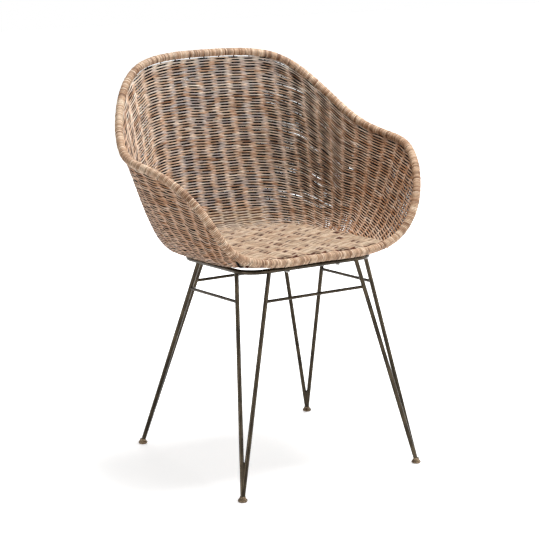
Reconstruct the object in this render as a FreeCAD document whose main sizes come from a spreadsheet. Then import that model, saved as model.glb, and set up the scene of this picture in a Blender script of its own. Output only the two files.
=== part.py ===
import FreeCAD, Part
import math
import os
import Sketcher

# Woven tub armchair on a bent rod base. Millimetres, +Z up, the chair faces -Y.
# The origin is on the floor under the middle of the whole chair; the base stands ahead of it, because
# the tub reaches out behind. Right and left are the sitter's, and lengths "from the middle" are the base's.

doc = FreeCAD.newDocument("WovenTubArmchair")
vec = FreeCAD.Vector

# Driving dimensions
dimensions = (
    ("baseAhead", 38.1, "middle of the base ahead of the origin"),
    # rod base
    ("footSpanX", 425.0, "side to side, foot centre to foot centre"),
    ("footSpanY", 414.0, "front to back, foot centre to foot centre"),
    ("ringWidth", 310.0, "seat ring over its side axes"),
    ("ringDepth", 266.0, "seat ring over its front and rear axes"),
    ("ringCorner", 44.0, "bend radius of the ring's axis"),
    ("ringLevel", 430.0, "height of the ring's axis at its middle"),
    ("seatRake", 3.26, "degrees by which ring and seat fall to the rear"),
    ("ringRod", 10.0, "diameter of the ring's rod"),
    ("legRod", 9.0, "diameter of the leg rods"),
    ("stretcherRod", 6.5, "diameter of the stretchers"),
    ("stretcherDrop", 59.0, "stretchers' axis below the ring's plane"),
    ("frontSideReach", 92.0, "front legs' side rods meet the side rail this far ahead of the middle"),
    ("rearSideReach", 57.0, "rear legs' side rods meet the side rail this far behind the middle"),
    ("frontEndReach", 104.0, "front legs' end rods meet the front rail this far from the middle"),
    ("rearEndReach", 96.0, "rear legs' end rods meet the rear rail this far from the middle"),
    ("meetingLevel", 6.0, "height at which a leg's two rod axes would meet"),
    ("webGap", 1.5, "clear gap between a leg's two rods where the web between them ends"),
    ("webThickness", 6.4, "weld web between a leg's rods"),
    # feet
    ("footDiameter", 20.0, "foot at its widest"),
    ("footSole", 17.0, "foot at its underside"),
    ("footNeck", 12.0, "foot at its top"),
    ("footHeight", 11.5, "top of the foot above the floor"),
    ("footEdge", 3.6, "height of the widest edge above the floor"),
    ("footWaist", 13.0, "foot at half the height of its flare"),
    ("glideDiameter", 13.0, "floor glide"),
    ("glideProud", 0.6, "glide standing out below the foot"),
    ("glideThickness", 2.4, "floor glide"),
    # frame under the seat
    ("hoopPole", 14.0, "diameter of the seat hoop's pole"),
    ("hoopOverhang", 60.0, "how far the hoop reaches behind the ring"),
    ("hoopCorner", 88.0, "bend radius of the hoop's axis"),
    ("crossPole", 14.0, "diameter of the cross poles"),
    ("screwDiameter", 4.0, "shank of the screws that hold the shell to the ring"),
    ("screwHead", 8.0, "screw head"),
    ("screwHeadHeight", 2.6, "screw head"),
    ("screwBite", 9.0, "screw shank inside the pole above the ring"),
    ("screwPitch", 120.0, "between a pole's two screws"),
    # woven shell
    ("weaveThickness", 10.0, "wall of the back and arms, over a stake"),
    ("wallBayThickness", 4.0, "the same midway between stakes, where the strands cross over"),
    ("wallStakes", 40, "upright stakes round the back and arms"),
    ("seatThickness", 13.0, "seat panel, over a stake"),
    ("seatBayThickness", 6.0, "the same midway between stakes"),
    ("seatStakePitch", 29.0, "from one stake of the seat to the next"),
    ("seatSideOverrun", 17.0, "how far the seat panel's side edges run past the ring's side axes"),
    ("seatOverrun", 12.0, "how far the seat panel runs past the wall's lower edge at the rear"),
    ("seatCornerEase", 4.0, "setback of the seat panel's front corners from its lip"),
    ("seatFrontFall", 4.0, "fall of the seat panel's front edge from the hoop to the rim"),
    ("rimPole", 12.8, "diameter of the pole in the rim"),
    ("bindingThickness", 1.6, "layer of peel wound on the rim pole"),
    ("rimStart", 0.100, "where the woven wall starts, as a share of the rim's length from its front middle"),
    ("sideBellyReach", 82.0, "how far the wall runs out before it turns up, at the arms"),
    ("backBellyReach", 34.0, "the same at the back"),
    ("sideRise", 52.0, "length of the straight upper wall at the arms"),
    ("backRise", 110.0, "the same at the back"),
    ("sideLean", 0.555, "outward lean of the upper wall at the arms, run over rise"),
    ("backLean", 0.021, "the same at the back"),
    # the rim's centreline on the sitter's left, mirrored on the right
    ("frontMidY", -166.0, ""), ("frontMidZ", 459.0, ""),
    ("frontQuarterX", 120.0, ""), ("frontQuarterY", -164.0, ""), ("frontQuarterZ", 460.0, ""),
    ("toeX", 198.0, ""), ("toeY", -158.0, ""), ("toeZ", 485.0, ""),
    ("cheekX", 233.0, ""), ("cheekY", -152.0, ""), ("cheekZ", 526.0, ""),
    ("noseX", 257.0, ""), ("noseY", -132.0, ""), ("noseZ", 570.0, ""),
    ("armFrontX", 302.0, ""), ("armFrontY", -44.0, ""), ("armFrontZ", 634.0, ""),
    ("armMidX", 317.0, ""), ("armMidY", 20.0, ""), ("armMidZ", 647.0, ""),
    ("armRearX", 300.0, ""), ("armRearY", 109.0, ""), ("armRearZ", 665.0, ""),
    ("shoulderX", 255.0, ""), ("shoulderY", 202.0, ""), ("shoulderZ", 731.0, ""),
    ("backCornerX", 172.0, ""), ("backCornerY", 268.0, ""), ("backCornerZ", 806.0, ""),
    ("backQuarterX", 90.0, ""), ("backQuarterY", 281.0, ""), ("backQuarterZ", 822.0, ""),
    ("backMidY", 285.0, ""), ("backMidZ", 824.0, ""),
    # fits
    ("seatGap", 0.3, "clearance between pieces that rest on or beside one another"),
    ("screwPlay", 0.2, "clearance round a screw, on the diameter"),
)

sheet = doc.addObject("Spreadsheet::Sheet", "sizes")
for row, (alias, value, note) in enumerate(dimensions, start=1):
    sheet.set("A%d" % row, str(value))
    sheet.setAlias("A%d" % row, alias)
    if note:
        sheet.set("B%d" % row, note)
doc.recompute()


def size(alias):
    return float(sheet.get(alias))


rake = math.radians(size("seatRake"))
rakePlacement = FreeCAD.Rotation(vec(1, 0, 0), -size("seatRake"))


def raked(x, y, above=0.0):
    # point of the ring's tilted plane, or of a plane parallel to it at a height above it
    return vec(x, y * math.cos(rake) + above * math.sin(rake) - size("baseAhead"),
               size("ringLevel") - y * math.sin(rake) + above * math.cos(rake))


pieces = {}


def keep(name, feature):
    feature.Label = name
    pieces[name] = feature
    return feature


# Sketch helpers
def originPlane(body, role):
    return next(item for item in body.Origin.OriginFeatures if item.Role == role)


def newSketch(body, role, name):
    sketch = body.newObject("Sketcher::SketchObject", name)
    sketch.AttachmentSupport = [(originPlane(body, role), "")]
    sketch.MapMode = "FlatFace"
    return sketch


def bind(sketch, constraint, expression):
    index = sketch.addConstraint(constraint)
    sketch.setExpression("Constraints[%d]" % index, expression)
    return index


def circleSketch(body, role, name, x, y, radius, expressions):
    sketch = newSketch(body, role, name)
    circle = sketch.addGeometry(Part.Circle(vec(x, y, 0), vec(0, 0, 1), radius), False)
    bind(sketch, Sketcher.Constraint("Radius", circle, radius), expressions[0])
    for kind, place, expression in (("DistanceX", x, expressions[1]), ("DistanceY", y, expressions[2])):
        if expression:
            bind(sketch, Sketcher.Constraint(kind, -1, 1, circle, 3, place), expression)
        else:
            axis = -2 if kind == "DistanceX" else -1
            sketch.addConstraint(Sketcher.Constraint("PointOnObject", circle, 3, axis))
    return sketch


def outlineSketch(body, role, name, corners):
    # closed outline of straight sides through corners given as (x, y, x expression, y expression)
    sketch = newSketch(body, role, name)
    count = len(corners)
    for index in range(count):
        start = vec(corners[index][0], corners[index][1], 0)
        end = vec(corners[(index + 1) % count][0], corners[(index + 1) % count][1], 0)
        sketch.addGeometry(Part.LineSegment(start, end), False)
    for index in range(count):
        sketch.addConstraint(Sketcher.Constraint("Coincident", index, 2, (index + 1) % count, 1))
        x, y, xRule, yRule = corners[index]
        for kind, place, rule, axis in (("DistanceX", x, xRule, -2), ("DistanceY", y, yRule, -1)):
            if rule:
                bind(sketch, Sketcher.Constraint(kind, -1, 1, index, 1, place), rule)
            else:
                sketch.addConstraint(Sketcher.Constraint("PointOnObject", index, 1, axis))
    return sketch


def roundedLoopSketch(body, name, width, depth, corner, rules):
    # rounded rectangle about the origin of the XY plane, as the axis of a bent rod
    sketch = newSketch(body, "XY_Plane", name)
    w, d, r = width / 2, depth / 2, corner
    sides = (
        Part.LineSegment(vec(-w + r, -d, 0), vec(w - r, -d, 0)),
        Part.LineSegment(vec(w, -d + r, 0), vec(w, d - r, 0)),
        Part.LineSegment(vec(w - r, d, 0), vec(-w + r, d, 0)),
        Part.LineSegment(vec(-w, d - r, 0), vec(-w, -d + r, 0)),
    )
    centres = ((w - r, -d + r, 270), (w - r, d - r, 0), (-w + r, d - r, 90), (-w + r, -d + r, 180))
    lines = [sketch.addGeometry(side, False) for side in sides]
    bends = []
    for x, y, start in centres:
        circle = Part.Circle(vec(x, y, 0), vec(0, 0, 1), r)
        bends.append(sketch.addGeometry(
            Part.ArcOfCircle(circle, math.radians(start), math.radians(start + 90)), False))
    for index in range(4):
        sketch.addConstraint(Sketcher.Constraint("Tangent", lines[index], 2, bends[index], 1))
        sketch.addConstraint(Sketcher.Constraint("Tangent", bends[index], 2, lines[(index + 1) % 4], 1))
    sketch.addConstraint(Sketcher.Constraint("Horizontal", lines[2]))
    sketch.addConstraint(Sketcher.Constraint("Vertical", lines[3]))
    for bend in bends[1:]:
        sketch.addConstraint(Sketcher.Constraint("Equal", bends[0], bend))
    sketch.addConstraint(Sketcher.Constraint("Symmetric", lines[0], 1, lines[0], 2, -2))
    sketch.addConstraint(Sketcher.Constraint("Symmetric", lines[1], 1, lines[1], 2, -1))
    bind(sketch, Sketcher.Constraint("Radius", bends[0], r), rules[2])
    bind(sketch, Sketcher.Constraint("DistanceX", lines[3], 1, lines[1], 1, width), rules[0])
    bind(sketch, Sketcher.Constraint("DistanceY", lines[0], 1, lines[2], 1, depth), rules[1])
    return sketch


def bentRod(name, width, depth, corner, thickness, rules):
    # a rod bent to a closed rounded rectangle: its section swept along its axis
    body = doc.addObject("PartDesign::Body", name)
    axis = roundedLoopSketch(body, name + "Axis", width, depth, corner, rules)
    section = circleSketch(body, "YZ_Plane", name + "Section", depth / 2, 0, thickness / 2,
                           (rules[3], rules[1] + " / 2", None))
    sweep = body.newObject("PartDesign::AdditivePipe", name + "Sweep")
    sweep.Profile = section
    sweep.Spine = axis
    return body


# Seat ring, drilled from below for the shell's screws
ring = bentRod("SeatRing", size("ringWidth"), size("ringDepth"), size("ringCorner"), size("ringRod"),
               ("sizes.ringWidth", "sizes.ringDepth", "sizes.ringCorner", "sizes.ringRod / 2"))
screwPlaces = [(side * size("screwPitch") / 2, end) for end in (-1, 1) for side in (-1, 1)]
drill = newSketch(ring, "XY_Plane", "RingDrill")
for side, end in ((-1, -1), (1, -1), (-1, 1), (1, 1)):
    hole = drill.addGeometry(Part.Circle(
        vec(side * size("screwPitch") / 2, end * size("ringDepth") / 2, 0), vec(0, 0, 1),
        (size("screwDiameter") + size("screwPlay")) / 2), False)
    bind(drill, Sketcher.Constraint("Radius", hole, (size("screwDiameter") + size("screwPlay")) / 2),
         "(sizes.screwDiameter + sizes.screwPlay) / 2")
    bind(drill, Sketcher.Constraint("DistanceX", -1, 1, hole, 3, side * size("screwPitch") / 2),
         "%d * sizes.screwPitch / 2" % side)
    bind(drill, Sketcher.Constraint("DistanceY", -1, 1, hole, 3, end * size("ringDepth") / 2),
         "%d * sizes.ringDepth / 2" % end)
drilled = ring.newObject("PartDesign::Pocket", "RingHoles")
drilled.Profile = drill
drilled.Type = 1
drilled.Midplane = True
ring.Placement = FreeCAD.Placement(raked(0, 0), rakePlacement)
keep("seat_ring", ring)


# Legs: each is a pair of straight rods, one to the side rail and one to the end rail
def cylinderBetween(name, start, end, diameterAlias):
    rod = doc.addObject("Part::Cylinder", name)
    rod.setExpression("Radius", "sizes.%s / 2" % diameterAlias)
    rod.Height = (end - start).Length
    rod.Placement = FreeCAD.Placement(start, FreeCAD.Rotation(vec(0, 0, 1), end - start))
    return rod


def cutWith(name, base, tool):
    cut = doc.addObject("Part::Cut", name)
    cut.Base = base
    cut.Tool = tool
    return cut


corners = {
    "front_right": (-1, -1), "front_left": (1, -1), "rear_right": (-1, 1), "rear_left": (1, 1),
}
footBlock = doc.addObject("Part::Box", "SpaceOfFeet")
footBlock.Length = 2 * size("footSpanX")
footBlock.Width = 2 * size("footSpanY")
footBlock.setExpression("Height", "sizes.footHeight")
footBlock.Placement.Base = vec(-size("footSpanX"), -size("footSpanY") - size("baseAhead"), 0)
legAxes = {}
legBars = {}
doc.recompute()

for corner, (side, end) in corners.items():
    foot = vec(side * size("footSpanX") / 2, end * size("footSpanY") / 2 - size("baseAhead"),
               size("meetingLevel"))
    isFront = end < 0
    sideReach = size("frontSideReach") if isFront else size("rearSideReach")
    endReach = size("frontEndReach") if isFront else size("rearEndReach")
    sideTop = raked(side * size("ringWidth") / 2, end * sideReach)
    endTop = raked(side * endReach, end * size("ringDepth") / 2)
    stem = corner.title().replace("_", "")
    sideBar = cylinderBetween(stem + "SideBar", foot, sideTop, "legRod")
    endBar = cylinderBetween(stem + "EndBar", foot, endTop, "legRod")
    sideOpen = cutWith(stem + "SideAboveFoot", sideBar, footBlock)
    sideRod = cutWith(stem + "SideRod", sideOpen, ring)
    endOpen = cutWith(stem + "EndAboveFoot", endBar, footBlock)
    endCoped = cutWith(stem + "EndCoped", endOpen, ring)
    endRod = cutWith(stem + "EndRod", endCoped, sideBar)
    keep(corner + "_side_rod", sideRod)
    keep(corner + ("_front_rod" if isFront else "_rear_rod"), endRod)
    legAxes[corner] = {"foot": foot, "side": sideTop, "end": endTop}
    legBars[corner] = (sideBar, endBar)


# Stretchers join neighbouring legs in a plane below the ring, their ends coped to the rods
def pointAtDrop(foot, top):
    # where a leg rod's axis passes through the stretchers' plane
    normal = rakePlacement.multVec(vec(0, 0, 1))
    level = raked(0, 0, -size("stretcherDrop"))
    run = top - foot
    return foot + run * ((level - foot).dot(normal) / run.dot(normal))


stretchers = {
    "front_stretcher": (("front_right", "end", "_front_rod"), ("front_left", "end", "_front_rod")),
    "rear_stretcher": (("rear_right", "end", "_rear_rod"), ("rear_left", "end", "_rear_rod")),
    "right_stretcher": (("front_right", "side", "_side_rod"), ("rear_right", "side", "_side_rod")),
    "left_stretcher": (("front_left", "side", "_side_rod"), ("rear_left", "side", "_side_rod")),
}
for name, ends in stretchers.items():
    places = [pointAtDrop(legAxes[corner]["foot"], legAxes[corner][which]) for corner, which, rod in ends]
    (first, _, firstRod), (last, _, lastRod) = ends
    stem = name.title().replace("_", "")
    bar = cylinderBetween(stem + "Bar", places[0], places[1], "stretcherRod")
    coped = cutWith(stem + "Coped", bar, pieces[first + firstRod])
    keep(name, cutWith(stem, coped, pieces[last + lastRod]))


# Weld webs: the crotch between a leg's two rods, filled and ground flat on both faces
for corner, (side, end) in corners.items():
    foot, sideTop, endTop = (legAxes[corner][key] for key in ("foot", "side", "end"))
    perRise = (sideTop - foot) / (sideTop - foot).z, (endTop - foot) / (endTop - foot).z
    rise = (size("legRod") + size("webGap")) / (perRise[0] - perRise[1]).Length
    sidePoint, endPoint = (foot + slope * rise for slope in perRise)
    across = (sideTop - foot).cross(endTop - foot)
    across.normalize()
    lift = across * (size("webThickness") / 2)
    blank = doc.addObject("Part::Feature", corner.title().replace("_", "") + "WebBlank")
    triangle = Part.makePolygon([place - lift for place in (foot, sidePoint, endPoint, foot)])
    blank.Shape = Part.Face(triangle).extrude(lift * 2)
    sideBar, endBar = legBars[corner]
    stem = corner.title().replace("_", "")
    keep(corner + "_leg_web", cutWith(stem + "Web", cutWith(stem + "WebBesideRod", blank, sideBar), endBar))


# Feet: turned bells with a recess below for the glide
def footBody(stem):
    body = doc.addObject("PartDesign::Body", stem + "Foot")
    sole, edge, neck = size("footSole") / 2, size("footDiameter") / 2, size("footNeck") / 2
    bottom, middle, top = size("glideProud"), size("footEdge"), size("footHeight")
    seat = (size("glideDiameter") + size("seatGap")) / 2
    seatTop = size("glideThickness")
    waist = size("footWaist") / 2
    corners = (
        (0.0, seatTop, None, "sizes.glideThickness"),
        (seat, seatTop, "(sizes.glideDiameter + sizes.seatGap) / 2", "sizes.glideThickness"),
        (seat, bottom, "(sizes.glideDiameter + sizes.seatGap) / 2", "sizes.glideProud"),
        (sole, bottom, "sizes.footSole / 2", "sizes.glideProud"),
        (edge, middle, "sizes.footDiameter / 2", "sizes.footEdge"),
        (waist, (middle + top) / 2, "sizes.footWaist / 2", "(sizes.footEdge + sizes.footHeight) / 2"),
        (neck, top, "sizes.footNeck / 2", "sizes.footHeight"),
        (0.0, top, None, "sizes.footHeight"),
    )
    profile = outlineSketch(body, "XZ_Plane", body.Name + "Profile", corners)
    turned = body.newObject("PartDesign::Revolution", body.Name + "Turned")
    turned.Profile = profile
    turned.ReferenceAxis = (profile, ["V_Axis"])
    return body


for corner, (side, end) in corners.items():
    body = footBody(corner.title().replace("_", ""))
    body.Placement.Base = vec(legAxes[corner]["foot"].x, legAxes[corner]["foot"].y, 0)
    keep(corner + "_foot", body)


# Floor glides, pressed into the feet
for corner in corners:
    glide = doc.addObject("Part::Cylinder", corner.title().replace("_", "") + "Glide")
    glide.setExpression("Radius", "sizes.glideDiameter / 2")
    glide.setExpression("Height", "sizes.glideThickness")
    glide.Placement.Base = vec(legAxes[corner]["foot"].x, legAxes[corner]["foot"].y, 0)
    keep(corner + "_floor_glide", glide)


def groupOf(name, feature, places):
    # the same solid at several places, as one node of separate solids
    group = doc.addObject("Part::Feature", name)
    copies = []
    for place in places:
        copy = feature.Shape.copy()
        copy.Placement = place.multiply(copy.Placement)
        copies.append(copy)
    group.Shape = Part.makeCompound(copies)
    return group


# Seat hoop: the shell's lower frame, bent from one pole; it lies on the ring and runs on behind it
hoopLift = size("ringRod") / 2 + size("hoopPole") / 2 + size("seatGap")
hoopDepth = size("ringDepth") + size("hoopOverhang")
hoopMiddle = size("hoopOverhang") / 2
hoop = bentRod("SeatHoop", size("ringWidth"), hoopDepth, size("hoopCorner"), size("hoopPole"),
               ("sizes.ringWidth", "(sizes.ringDepth + sizes.hoopOverhang)", "sizes.hoopCorner",
                "sizes.hoopPole / 2"))
boreRadius = (size("screwDiameter") + size("screwPlay")) / 2
boreTop = size("screwBite") + size("seatGap") - size("hoopPole") / 2
hoopDrill = newSketch(hoop, "XY_Plane", "HoopDrill")
hoopDrill.setExpression("AttachmentOffset.Base.z",
                        "sizes.screwBite + sizes.seatGap - sizes.hoopPole / 2")
for side in (-1, 1):
    hole = hoopDrill.addGeometry(Part.Circle(
        vec(side * size("screwPitch") / 2, -hoopDepth / 2, 0), vec(0, 0, 1), boreRadius), False)
    bind(hoopDrill, Sketcher.Constraint("Radius", hole, boreRadius),
         "(sizes.screwDiameter + sizes.screwPlay) / 2")
    bind(hoopDrill, Sketcher.Constraint("DistanceX", -1, 1, hole, 3, side * size("screwPitch") / 2),
         "%d * sizes.screwPitch / 2" % side)
    bind(hoopDrill, Sketcher.Constraint("DistanceY", -1, 1, hole, 3, -hoopDepth / 2),
         "-(sizes.ringDepth + sizes.hoopOverhang) / 2")
hoopHoles = hoop.newObject("PartDesign::Pocket", "HoopHoles")
hoopHoles.Profile = hoopDrill
hoopHoles.Type = 1
hoop.Placement = FreeCAD.Placement(raked(0, hoopMiddle, hoopLift), rakePlacement)
keep("seat_hoop", hoop)
doc.recompute()

# Screws from below: through the ring's front rail into the hoop, through its rear rail into a pole
screw = doc.addObject("PartDesign::Body", "Screw")
shank = size("screwDiameter") / 2
head = size("screwHead") / 2
headHeight = size("screwHeadHeight")
reach = size("ringRod") + size("seatGap") + size("screwBite")
screwProfile = outlineSketch(screw, "XZ_Plane", "ScrewProfile", (
    (0.0, -headHeight, None, "-sizes.screwHeadHeight"),
    (head, -headHeight, "sizes.screwHead / 2", "-sizes.screwHeadHeight"),
    (head, 0.0, "sizes.screwHead / 2", None),
    (shank, 0.0, "sizes.screwDiameter / 2", None),
    (shank, reach - shank, "sizes.screwDiameter / 2",
     "sizes.ringRod + sizes.seatGap + sizes.screwBite - sizes.screwDiameter / 2"),
    (0.0, reach, None, "sizes.ringRod + sizes.seatGap + sizes.screwBite"),
))
screwTurned = screw.newObject("PartDesign::Revolution", "ScrewTurned")
screwTurned.Profile = screwProfile
screwTurned.ReferenceAxis = (screwProfile, ["V_Axis"])
doc.recompute()
screwPlacements = [
    FreeCAD.Placement(raked(x, end * size("ringDepth") / 2, -size("ringRod") / 2), rakePlacement)
    for x, end in screwPlaces
]
keep("shell_screws", groupOf("ShellScrews", screw, screwPlacements))

# Cross poles between the hoop's sides, their ends coped to it; the rear one lies on the ring's rear rail
poleLift = size("ringRod") / 2 + size("crossPole") / 2 + size("seatGap")


def hoopHalfWidth(y):
    # from the middle to the hoop's axis, at a place along the ring
    bend = size("hoopCorner")
    past = abs(y - hoopMiddle) - (hoopDepth / 2 - bend)
    drop = bend - math.sqrt(bend ** 2 - past ** 2) if past > 0 else 0.0
    return size("ringWidth") / 2 - drop


for name, y in (("middle_cross_pole", 0.0), ("rear_cross_pole", size("ringDepth") / 2)):
    stem = name.title().replace("_", "")
    half = hoopHalfWidth(y)
    pole = cylinderBetween(stem + "Bar", raked(-half, y, poleLift), raked(half, y, poleLift), "crossPole")
    coped = cutWith(stem, pole, hoop)
    if y:
        bores = []
        for place, (x, end) in zip(screwPlacements, screwPlaces):
            if end > 0:
                bore = Part.makeCylinder(boreRadius, reach + size("seatGap"))
                bore.Placement = place
                bores.append(bore)
        drillBits = doc.addObject("Part::Feature", stem + "Bores")
        drillBits.Shape = Part.makeCompound(bores)
        coped = cutWith(stem + "Bored", coped, drillBits)
    keep(name, coped)

# The rim's centreline: a smooth closed curve through the stations and their mirror images
stations = [
    (0.0, size("frontMidY"), size("frontMidZ")),
    (size("frontQuarterX"), size("frontQuarterY"), size("frontQuarterZ")),
    (size("toeX"), size("toeY"), size("toeZ")),
    (size("cheekX"), size("cheekY"), size("cheekZ")),
    (size("noseX"), size("noseY"), size("noseZ")),
    (size("armFrontX"), size("armFrontY"), size("armFrontZ")),
    (size("armMidX"), size("armMidY"), size("armMidZ")),
    (size("armRearX"), size("armRearY"), size("armRearZ")),
    (size("shoulderX"), size("shoulderY"), size("shoulderZ")),
    (size("backCornerX"), size("backCornerY"), size("backCornerZ")),
    (size("backQuarterX"), size("backQuarterY"), size("backQuarterZ")),
    (0.0, size("backMidY"), size("backMidZ")),
]
mirrored = [(-x, y, z) for x, y, z in stations[-2:0:-1]]
loop = [vec(x, y - size("baseAhead"), z) for x, y, z in stations + mirrored]
rimCurve = Part.BSplineCurve()
rimCurve.interpolate(loop, PeriodicFlag=True)
bindingBore = size("rimPole") / 2 + size("seatGap")
rimRadius = bindingBore + size("bindingThickness")


def rimPoint(share):
    # share of the way round, from the front middle by the sitter's left to the back and on
    first, last = rimCurve.FirstParameter, rimCurve.LastParameter
    return rimCurve.value(first + (share % 1.0) * (last - first))


def tubeAlongRim(radius, sides):
    # flat-sided tube round the whole rim, as two halves that meet at the front and at the back; its long
    # edges keep their place about the rim's axis, counted from the level line across it
    spans, nudge = 24, 1e-4

    def corner(share, angle):
        axis = rimPoint(share + nudge) - rimPoint(share - nudge)
        level = axis.cross(vec(0, 0, 1))
        level.normalize()
        upward = level.cross(axis)
        upward.normalize()
        return rimPoint(share) + (level * math.cos(angle) + upward * math.sin(angle)) * radius

    faces = []
    for first in (0.0, 0.5):
        edges = []
        for index in range(sides):
            angle = 2 * math.pi * index / sides
            marks = [step / spans for step in range(spans + 1)]
            places = [corner(first + mark / 2, angle) for mark in marks]
            slopes = [(corner(first + mark / 2 + nudge, angle) - corner(first + mark / 2 - nudge, angle))
                      / (4 * nudge) for mark in (0, 1)]
            edge = Part.BSplineCurve()
            edge.interpolate(Points=places, Parameters=marks, InitialTangent=slopes[0],
                             FinalTangent=slopes[1], Scale=False)
            edges.append(edge)
        faces += [edges[index - 1].makeRuledSurface(edges[index]).toShape() for index in range(sides)]
    shell = Part.makeShell(faces)
    shell.sewShape(1e-3)
    solid = Part.makeSolid(shell)
    if solid.Volume < 0:
        solid.reverse()
    return solid


# Rim: a pole bent all the way round, and the peel wound on it
poleSides, bindingSides = 8, 12
rimPole = doc.addObject("Part::Feature", "RimPole")
rimPole.Shape = tubeAlongRim(size("rimPole") / 2, poleSides)
keep("rim_pole", rimPole)
rimBinding = doc.addObject("Part::Feature", "RimBinding")
boreCorner = size("rimPole") / 2 + size("seatGap") / math.cos(math.pi / poleSides)
rimBinding.Shape = tubeAlongRim(rimRadius, bindingSides).cut(tubeAlongRim(boreCorner, poleSides))
keep("rim_binding", rimBinding)


# Woven wall of the back and arms: one panel from the hoop up to the rim
def hipPoint(direction):
    # where a ray from the hoop's middle leaves the hoop's outline, widened to clear the pole
    wide = size("ringWidth") / 2 + size("hoopPole") / 2 + size("seatGap")
    deep = hoopDepth / 2 + size("hoopPole") / 2 + size("seatGap")
    bend = size("hoopCorner") + size("hoopPole") / 2 + size("seatGap")
    dx, dy = abs(direction.x), abs(direction.y)
    scale = min(wide / dx if dx > 1e-9 else 1e9, deep / dy if dy > 1e-9 else 1e9)
    x, y = dx * scale, dy * scale
    if x > wide - bend and y > deep - bend:
        cx, cy = wide - bend, deep - bend
        along = dx * cx + dy * cy
        length = dx ** 2 + dy ** 2
        scale = (along + math.sqrt(along ** 2 - length * (cx ** 2 + cy ** 2 - bend ** 2))) / length
        x, y = dx * scale, dy * scale
    return raked(math.copysign(x, direction.x), math.copysign(y, direction.y) + hoopMiddle, hoopLift)


def blend(side, back, share):
    return size(side) + (size(back) - size(side)) * share


def wallProfile(share):
    # the four poles of one upright line of the wall, from the hoop into the rim
    top = rimPoint(share)
    centre = raked(0, hoopMiddle, hoopLift)
    hip = hipPoint(vec(top.x, top.y - centre.y, 0))
    outward = vec(top.x - hip.x, top.y - hip.y, 0)
    reachOut = outward.Length
    outward.normalize()
    back = max(outward.y, 0.0) ** 2
    rise = top.z - hip.z
    belly = min(blend("sideBellyReach", "backBellyReach", back), 0.5 * reachOut + 0.12 * rise)
    upper = min(blend("sideRise", "backRise", back), 0.5 * rise)
    down = -outward * blend("sideLean", "backLean", back) - vec(0, 0, 1)
    down.normalize()
    second = hip + outward * belly
    second.z -= math.tan(rake) * outward.y * belly
    third = top + down * upper
    return hip, second, third, top + down * (0.5 * rimRadius)


def onProfile(poles, t):
    a, b, c, d = poles
    return a * (1 - t) ** 3 + b * (3 * t * (1 - t) ** 2) + c * (3 * t * t * (1 - t)) + d * t ** 3


columns, rows = 33, 8
step = 1e-3


def wallPoint(across, up):
    share = size("rimStart") + across * (1 - 2 * size("rimStart"))
    return onProfile(wallProfile(share), up)


def wallNormal(across, up):
    left, right = max(across - step, 0.0), min(across + step, 1.0)
    low, high = max(up - step, 0.0), min(up + step, 1.0)
    sideways = wallPoint(right, up) - wallPoint(left, up)
    normal = sideways.cross(wallPoint(across, high) - wallPoint(across, low))
    normal.normalize()
    return normal


def ribbedPanel(lines, halves):
    # closed panel: every line is a row of (place, normal) and carries two edges, half a thickness to
    # either side; straight rulings from line to line make the skins, and four strips close the rim
    skins = []
    for side in (-1, 1):
        edges = []
        for line, half in zip(lines, halves):
            edge = Part.BSplineCurve()
            edge.interpolate(Points=[place + normal * (side * half) for place, normal in line],
                             Parameters=[index / (len(line) - 1) for index in range(len(line))])
            edges.append(edge)
        skins.append(edges)
    pairs = [pair for edges in skins for pair in zip(edges, edges[1:])]
    for end in (0, -1):
        pairs.append([edges[end] for edges in skins])
        for k in range(len(lines) - 1):
            corners = [[edges[place].StartPoint if end == 0 else edges[place].EndPoint
                        for place in (k, k + 1)] for edges in skins]
            pairs.append([Part.LineSegment(*corner) for corner in corners])
    faces = [left.makeRuledSurface(right).toShape() for left, right in pairs]
    shell = Part.makeShell(faces)
    shell.sewShape(1e-3)
    solid = Part.makeSolid(shell)
    if solid.Volume < 0:
        solid.reverse()
    return solid


def wovenSheet(point, normal, across, up, thickness):
    # closed panel: two smooth skins a thickness apart, joined along their four edges
    skins = []
    for offset in (-thickness / 2, thickness / 2):
        grid = [[point(i / (across - 1), j / (up - 1)) + normal(i / (across - 1), j / (up - 1)) * offset
                 for j in range(up)] for i in range(across)]
        surface = Part.BSplineSurface()
        surface.interpolate(grid)
        skins.append(surface)
    faces = [skin.toShape() for skin in skins]
    borders = []
    for skin in skins:
        u0, u1, v0, v1 = skin.bounds()
        borders.append([skin.uIso(u0), skin.uIso(u1), skin.vIso(v0), skin.vIso(v1)])
    for inner, outer in zip(*borders):
        faces.append(Part.makeRuledSurface(inner.toShape(), outer.toShape()))
    shell = Part.makeShell(faces)
    shell.sewShape(1e-3)
    solid = Part.makeSolid(shell)
    if solid.Volume < 0:
        solid.reverse()
    return solid


def wallTop(across):
    # how far up its upright line the panel reaches before it meets the binding
    clear = rimRadius + 1.7 * size("seatGap")
    low, high = 0.5, 1.0
    for attempt in range(14):
        up = (low + high) / 2
        place, normal = wallPoint(across, up), wallNormal(across, up)
        nearest = min(
            (point - rimCurve.value(rimCurve.parameter(point))).Length
            for point in (place + normal * (shift * size("weaveThickness") / 2) for shift in (-1, 0, 1)))
        if nearest > clear:
            low = up
        else:
            high = up
    return low


# a rib stands over each stake, and the panel thins between them, where the strands change sides
bays = 2 * int(size("wallStakes"))
wallLines = []
for column in range(bays + 1):
    across = column / bays
    top = wallTop(across)
    wallLines.append([(wallPoint(across, top * row / rows), wallNormal(across, top * row / rows))
                      for row in range(rows + 1)])
wallHalves = [size("weaveThickness") / 2 if column % 2 else size("wallBayThickness") / 2
              for column in range(bays + 1)]
wall = doc.addObject("Part::Feature", "WallPanel")
wall.Shape = ribbedPanel(wallLines, wallHalves)
keep("back_and_arms_weave", wall)

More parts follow.
